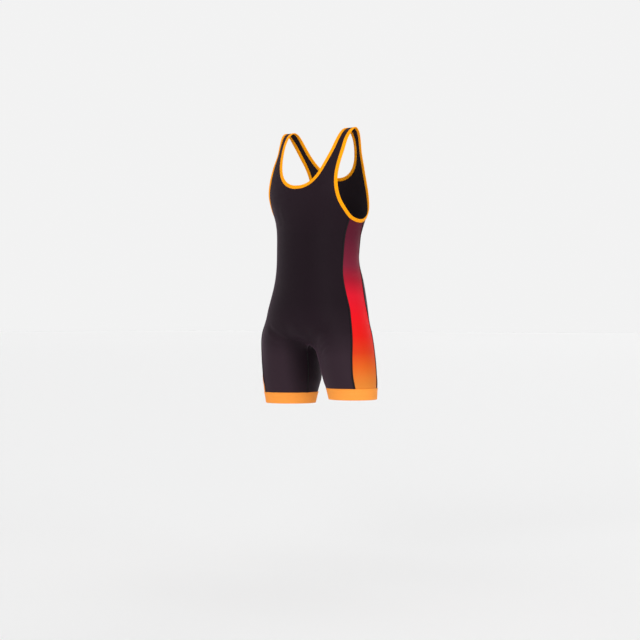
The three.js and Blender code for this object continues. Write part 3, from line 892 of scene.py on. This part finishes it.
# %% The frame of a folded tape
BULGE = [  # across and out, in mm, from the open edge to the cloth, outer face
    (-5.45, -0.60), (-5.40, 0.00), (-4.95, 0.55), (-4.10, 0.88), (-2.60, 1.08), (-0.80, 1.15),
    (1.00, 1.08), (2.60, 0.92), (3.50, 0.66), (4.10, 0.52), (4.70, 0.70), (5.30, 0.74),
    (5.85, 0.45), (6.05, -0.05),
]
STITCH_LINE = 4.1  # mm across, where the groove runs
HALF_CLOTH = -0.6  # mm, the middle of the cloth below its outer face
HALF_WIDE, RAISED = 5.5 * MM, 0.8 * MM  # from the model's edge to the middle, and down to the cloth
PUFF_EVERY = 4.4 * MM  # from one puff between stitches to the next
PUFF, GROOVE = 0.22, 1.3  # mm, how high a puff is, and how wide the groove it lifts


def tape_frames(rows, step):
    """Along a binding every step: its middle on the cloth, the ways across and out."""
    fine, run = finer(rows, step, True)
    edge = np.linalg.norm(fine - np.roll(fine, -1, axis=1), axis=2).mean(axis=0)
    j = int(edge.argmin())
    one = fine[:, [j, j - 1, j - 2]]
    two = fine[:, [(j + 1) % 6, (j + 2) % 6, (j + 3) % 6]]
    low = fine[:, :, 2].mean(axis=1).argmin()
    away = one[low, 2] * [1, 1, 0]
    if (one[low, 2] - two[low, 2]) @ away < 0:
        one, two = two, one
    out = unit(one[:, 2] - two[:, 2])
    across = unit(one[:, 2] - one[:, 1])
    middle = one[:, 2] - across * HALF_WIDE - out * RAISED
    return middle, across, out, run


def binding(name, node, rows):
    """A folded tape all the way round an opening."""
    middle, across, out, run = tape_frames(rows, 1.1 * MM)
    outer = np.array(BULGE)
    inner = outer[::-1] * [1, -1] + [0, 2 * HALF_CLOTH]
    section = np.concatenate([outer, inner[1:-1]])
    puff = 0.5 + 0.5 * np.cos(2 * np.pi * run / (run[-1] / round(run[-1] / PUFF_EVERY)))
    near_groove = np.exp(-(((section[:, 0] - STITCH_LINE) / GROOVE) ** 2))
    lift = np.sign(section[:, 1] - HALF_CLOTH) * near_groove
    puffs = out[:, None] * (puff[:, None] * lift[None, :] * PUFF * MM)[:, :, None]
    sections = laid(section, middle, across, out) + puffs
    made = strip(name, sections, True, binding_tape, tape_map(section, run))
    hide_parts(node)
    print(name, round(float(run[-1]), 3), "m of tape")
    return made, (middle, across, out)


neck_tape, neck_frame = binding("neck_tape", "neck_binding", neck_rows)
armhole_tape, armhole_frame = {}, {}
for s in SIDES:
    made = binding("armhole_tape_" + s, "armhole_binding_" + s, armhole_rows[s])
    armhole_tape[s], armhole_frame[s] = made

# %% [markdown]
# ## Stitches
# A stitch is a short length of thread that dips into the cloth at both ends. All the stitches of
# one seam are one mesh: each is a small five-sided tube with thin ends, laid between two points
# and bowed outwards in its middle.

# %% Sewing a row of stitches


def stitches(name, pairs, thread, thick=0.55):
    """Stitches between pairs of points; each pair is (start, end, way out)."""
    starts, ends, outs = (np.array(part) for part in zip(*pairs))
    along = ends - starts
    side = unit(np.cross(along, outs))
    up = unit(np.cross(side, along))
    spots, flat = [], []
    # along the stitch, width, rise
    shape = [(0, 0.35, -0.25), (0.22, 1, 0.3), (0.5, 1, 0.5), (0.78, 1, 0.3), (1, 0.35, -0.25)]
    turns = [2 * math.pi * k / 5 for k in range(5)]
    for t, wide, rise in shape:
        for a in turns:
            spots.append(
                starts + along * t
                + side * (math.cos(a) * wide * thick / 2 * MM)
                + up * ((math.sin(a) * wide * thick / 2 + rise * thick) * MM)
            )
            flat.append((t * 3 * MM, a / 6.3 * thick * 3 * MM))
    spots = np.stack(spots, axis=1)
    count, points = spots.shape[:2]
    faces = [
        (a, b, b + 5, a + 5)
        for ring in range(0, count * points, 5)
        if ring % points < points - 5
        for a, b in ((ring + k, ring + (k + 1) % 5) for k in range(5))
    ]
    made = piece(name, spots.reshape(-1, 3), faces, [thread], uv=np.tile(flat, (count, 1)))
    print(name, count, "stitches")
    return made


def zigzag(middle, across, out, centre, reach, lift, every):
    """Zigzag stitches along a frame, in mm: centre and reach across, lift out, one every so many."""
    run = np.concatenate([[0], np.cumsum(np.linalg.norm(np.diff(middle, axis=0), axis=1))])
    wanted = np.linspace(0, run[-1], max(3, round(run[-1] / (every * MM))) + 1)
    index = np.clip(np.searchsorted(run, wanted), 0, len(run) - 1)
    swing = np.where(np.arange(len(wanted)) % 2, reach, -reach)
    at = middle[index] + across[index] * ((centre + swing) * MM)[:, None] + out[index] * lift * MM
    return list(zip(at[:-1], at[1:], out[index][:-1]))


rows = zigzag(*neck_frame, STITCH_LINE, reach=0.9, lift=0.72, every=2.2)
neck_sewing = stitches("neck_stitches", rows, orange_thread)
for s in SIDES:
    rows = zigzag(*armhole_frame[s], STITCH_LINE, reach=0.9, lift=0.72, every=2.2)
    stitches("armhole_stitches_" + s, rows, orange_thread)

# %% [markdown]
# ## Flat piping
# The side seams are covered by a narrow flat tape, sewn on with a row of straight stitches along
# each edge. Its section is a low dome with two shallow grooves for the stitches.

# %% Piping over the side seams
EDGE_ROW = 1.85  # mm from the middle, where the grooves and the stitches run
FLAT_TAPE = [  # across and out, in mm
    (-2.75, -0.15), (-2.70, 0.45), (-2.35, 0.90), (-1.85, 0.82), (-1.35, 1.05), (-0.60, 1.20),
    (0.60, 1.20), (1.35, 1.05), (1.85, 0.82), (2.35, 0.90), (2.70, 0.45), (2.75, -0.15),
]


def flat_frames(rows, step):
    """Along a flat tape every step: its middle on the cloth, the ways across and out."""
    fine, run = finer(rows, step, False)
    edge = np.linalg.norm(fine - np.roll(fine, -1, axis=1), axis=2).mean(axis=0)
    j = int(edge.argmax())
    one, two = fine[:, j], fine[:, (j + 1) % 4]
    top = (fine[:, (j + 2) % 4] + fine[:, (j + 3) % 4]) / 2
    base = (one + two) / 2
    out = unit(top - base)
    return base - out * 0.3 * MM, unit(two - one), out, run


for (place, s), rows in piping_rows.items():
    middle, across, out, run = flat_frames(rows, 1.6 * MM)
    section = np.array(FLAT_TAPE)
    sections = laid(section, middle, across, out)
    name = "piping_tape_" + place + "_" + s
    made = strip(name, sections, False, piping_tape, tape_map(section, run))
    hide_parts("piping_" + place + "_" + s)
    rows_of_thread = []
    for centre in (-EDGE_ROW, EDGE_ROW):
        rows_of_thread += zigzag(middle, across, out, centre, reach=0.0, lift=0.86, every=2.6)
    thread = stitches("piping_stitches_" + place + "_" + s, rows_of_thread, black_thread, thick=0.4)

# %% [markdown]
# ## Hem bands
# Each leg ends in a band of elastic, ribbed round the leg: the cover yarn bulges between rows of
# rubber, 2.4 mm apart. The ribs are real relief here, because they also show in the outline.
# The inner face is flatter, and both edges are rolled.

# %% Ribbed bands
RIBS, HIGH = 16, 38  # ribs on a band that is 38 mm high
ROLL = 1.2  # mm, how far its rolled edges reach
RIB, FURROW, EDGE, INNER = 0.45, 0.15, -0.9, -1.9  # mm out: a rib on its furrow, the edges, the inside
GRIP = {"left": 0.975, "right": 0.925}  # lower edge against the model's, as the thigh tapers
SNUG = 0.988  # upper edge against the model's, so that it lies flush with the cloth
for s in SIDES:
    top, bottom = bands[s]
    centre = sum(top, Vector()) / len(top)
    top = [centre + (spot - centre) * SNUG for spot in top]
    bands[s] = top, bottom
    rings, run = finer(list(zip(top, bottom)), 2.6 * MM, True)
    middle = rings[:, 1].mean(axis=0)
    rings[:, 1] = middle + (rings[:, 1] - middle) * GRIP[s]
    centre = rings.mean(axis=(0, 1))
    way = rings[:, 0] - rings[:, 1]
    high = np.linalg.norm(way, axis=1).mean()
    around = np.roll(rings, -1, axis=0).mean(axis=1) - np.roll(rings, 1, axis=0).mean(axis=1)
    out = unit(np.cross(around, way))
    if ((rings.mean(axis=1) - centre) * out).sum() < 0:
        out = -out
    down = np.linspace(0, 1, RIBS * 6 + 1)
    ribs = np.abs(np.sin(np.pi * down * RIBS)) ** 0.6 * RIB
    roll = np.clip(np.minimum(down, 1 - down) * HIGH / ROLL, 0, 1)
    lift = (ribs + FURROW) * np.sqrt(roll) + EDGE * (1 - roll) ** 2
    inside = np.linspace(1, 0, 24)[1:-1]
    heights = np.concatenate([down, inside])
    lifts = np.concatenate([lift, np.full(len(inside), INNER)])
    sections = (
        rings[:, :1] + (rings[:, 1:] - rings[:, :1]) * heights[None, :, None]
        + out[:, None] * (lifts * MM)[None, :, None]
    )
    flat = np.stack([np.repeat(run, len(heights)), np.tile(heights * high, len(run))], axis=1)
    made = strip("hem_elastic_" + s, sections, True, hem_elastic, flat)
    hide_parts("hem_band_" + s)
    print(made.name, "goes", round(float(run[-1]), 3), "m round the leg")

# %% [markdown]
# ## Sewn seams
# Front and back are joined inside each leg and over each shoulder with a flat seam: a narrow
# double ridge with thread laced over it. The line of each seam is the cut edge of the front
# piece, so it is read from the skin: the edge points from the crotch down to each hem, and
# the short edges at the tops of the straps.

# %% Finding the seam lines


def edge_ring(node):
    """The points round the edge of a cut piece, in order, each with the cloth's way out."""
    mesh = skins[node]
    mesh.normal_update()
    first = next(e for e in mesh.edges if e.is_boundary)
    ring, here, edge = [first.verts[0]], first.verts[1], first
    while here is not ring[0]:
        ring.append(here)
        edge = next(e for e in here.link_edges if e.is_boundary and e is not edge)
        here = edge.other_vert(here)
    return [(v.co.copy(), v.normal.copy()) for v in ring]


ring = edge_ring("front_panel")
print("front piece's edge:", len(ring), "points")

# %% Splitting the edge into its seams
INSEAM_TOP = -0.66  # every inseam lies below this
STRAP_TOP = 1.5 * MM  # what lies above this is a strap's short edge
spots = [p for p, _ in ring]
hem_ends = {}
for sign in (1, -1):
    leg = [i for i, p in enumerate(spots) if p.x * sign > 0]
    lowest = min(spots[i].z for i in leg) + 0.5 * MM
    hem_ends[sign] = min((i for i in leg if spots[i].z < lowest), key=lambda i: spots[i].x * sign)


def between(a, b, keep):
    """The ring from index a to index b, going the way on which every point passes keep."""
    count = len(ring)
    for step in (1, -1):
        line = [a]
        while line[-1] != b:
            line.append((line[-1] + step) % count)
        if all(keep(spots[i]) for i in line):
            return [ring[i] for i in line]
    raise ValueError("no way round")


crotch_line = between(hem_ends[-1], hem_ends[1], lambda p: p.z < INSEAM_TOP)
strap_lines = []
for sign in (1, -1):
    top = [r for r in ring if r[0].z > STRAP_TOP and r[0].x * sign > 0 and r[0].y > -1 * MM]
    strap_lines.append(sorted(top, key=lambda r: r[0].x))
print("inseams:", len(crotch_line), "points; shoulder seams:", [len(t) for t in strap_lines])

# %% Flat seams, and the thread laced over them
# across and out, in mm
SEAM = [(-1.9, -0.2), (-1.7, 0.25), (-0.9, 0.50), (0.0, 0.28), (0.9, 0.50), (1.7, 0.25), (1.9, -0.2)]


def seam_frames(line, step, closed=False):
    """Along a seam every step: its middle on the cloth, the ways across and out."""
    fine, run = finer([[p - n * MM, p + n * MM] for p, n in line], step, closed)
    middle = fine.mean(axis=1)
    out = unit(fine[:, 1] - fine[:, 0])
    if closed:
        tangent = np.roll(middle, -1, axis=0) - np.roll(middle, 1, axis=0)
    else:
        tangent = np.gradient(middle, axis=0)
    return middle, unit(np.cross(tangent, out)), out, run


def flat_seam(name, line, cover, thread):
    """A sewn flat seam: its ridge, covered by yarn, and zigzag thread over it."""
    middle, across, out, run = seam_frames(line, 1.4 * MM)
    section = np.array(SEAM)
    ridge = strip(name, laid(section, middle, across, out), False, cover, tape_map(section, run))
    lacing = zigzag(middle, across, out, 0.0, reach=1.5, lift=0.36, every=1.9)
    laced = stitches(name + "_thread", lacing, thread, thick=0.35)
    return [ridge, laced]


half = min(range(len(crotch_line)), key=lambda i: abs(crotch_line[i][0].x))
inseams = flat_seam("inseam_right", crotch_line[: half + 1], piping_tape, black_thread)
inseams += flat_seam("inseam_left", crotch_line[half:], piping_tape, black_thread)
shoulders = []
for s, line in zip(SIDES, strap_lines):
    shoulders += flat_seam("shoulder_seam_" + s, line, body_knit, charcoal_thread)

# %% The row of stitches that holds each hem band
for s in SIDES:
    top, bottom = bands[s]
    centre = sum(top, Vector()) / len(top)
    line = [(p, ((p - centre) * Vector((1, 1, 0))).normalized()) for p in top]
    middle, across, out, run = seam_frames(line, 1.3 * MM, closed=True)
    down = np.tile([0.0, 0.0, -1.0], (len(middle), 1))
    rows = zigzag(middle, down, out, 1.9, reach=0.8, lift=0.75, every=2.2)
    stitches("hem_stitches_" + s, rows, orange_thread, thick=0.45)

# %% [markdown]
# ## The cut
# A knit singlet is cut about a tenth smaller than the body it goes on.

# %% [markdown]
# ## Floor and light
# The photograph is lit evenly against a very pale ground. Wide, soft suns light the cloth from
# every side and leave no pool of light on the floor, as large lamps far away do. The floor lies
# 1.51 m below the straps.

# %% Floor
FLOOR = -1.513
WIDE = 90  # m from its middle to each side
corners = [(x * WIDE, y * WIDE, FLOOR) for x, y in ((-1, -1), (1, -1), (1, 1), (-1, 1))]
floor = piece("floor", corners, [(0, 1, 2, 3)], [])
pale, tree = new_material("pale_studio_floor")
mottle = add(tree, "TexNoise", {"Scale": 1.5, "Detail": 2.0})
ramp = add(tree, "ValToRGB", {"Fac": mottle.outputs["Fac"]})
shaded(tree, {"Base Color": stops(ramp, (0.3, "#F4F4F4"), (0.7, "#F7F7F7")), "Roughness": 0.9})
floor.data.materials.append(pale)

# %% Light
# The camera sees a pale ground; the cloth gets less light from it than from the soft suns, so
# that its form still shows. Light Path tells the two apart.
world = bpy.data.worlds.new("studio")
world.use_nodes = True
sky = world.node_tree
sky.nodes.clear()
seen = add(sky, "LightPath")
FOR_CLOTH, FOR_CAMERA = 0.33, 0.89
glow = {"Value": seen.outputs["Is Camera Ray"], "To Min": FOR_CLOTH, "To Max": FOR_CAMERA}
strength = add(sky, "MapRange", glow)
light = {"Color": linear("#FFFFFF"), "Strength": strength.outputs["Result"]}
backdrop = add(sky, "Background", light)
add(sky, "OutputWorld", {"Surface": backdrop.outputs["Background"]})
bpy.context.scene.world = world
bpy.context.scene.view_settings.view_transform = "Standard"  # screen colours as picked


def soft_sun(name, bearing, height, strength, spread):
    """Even light from one side: bearing from straight ahead and height, both in degrees."""
    data = bpy.data.lights.new(name, "SUN")
    data.energy = strength
    data.angle = math.radians(spread)
    made = bpy.data.objects.new(name, data)
    turn, lift = math.radians(bearing), math.radians(height)
    towards = Vector(
        (math.sin(turn) * math.cos(lift), -math.cos(turn) * math.cos(lift), math.sin(lift))
    )
    made.rotation_euler = towards.to_track_quat("Z", "Y").to_euler()
    bpy.context.scene.collection.objects.link(made)


# bearing and height in degrees, strength, spread in degrees
soft_sun("front", 18, 16, 1.45, 40)
soft_sun("side_right", -80, 12, 0.42, 40)
soft_sun("side_left", 84, 12, 1.1, 40)
soft_sun("back", 192, 14, 0.75, 50)
soft_sun("overhead", 0, 90, 1.05, 90)
print("lights:", len(bpy.data.lights))
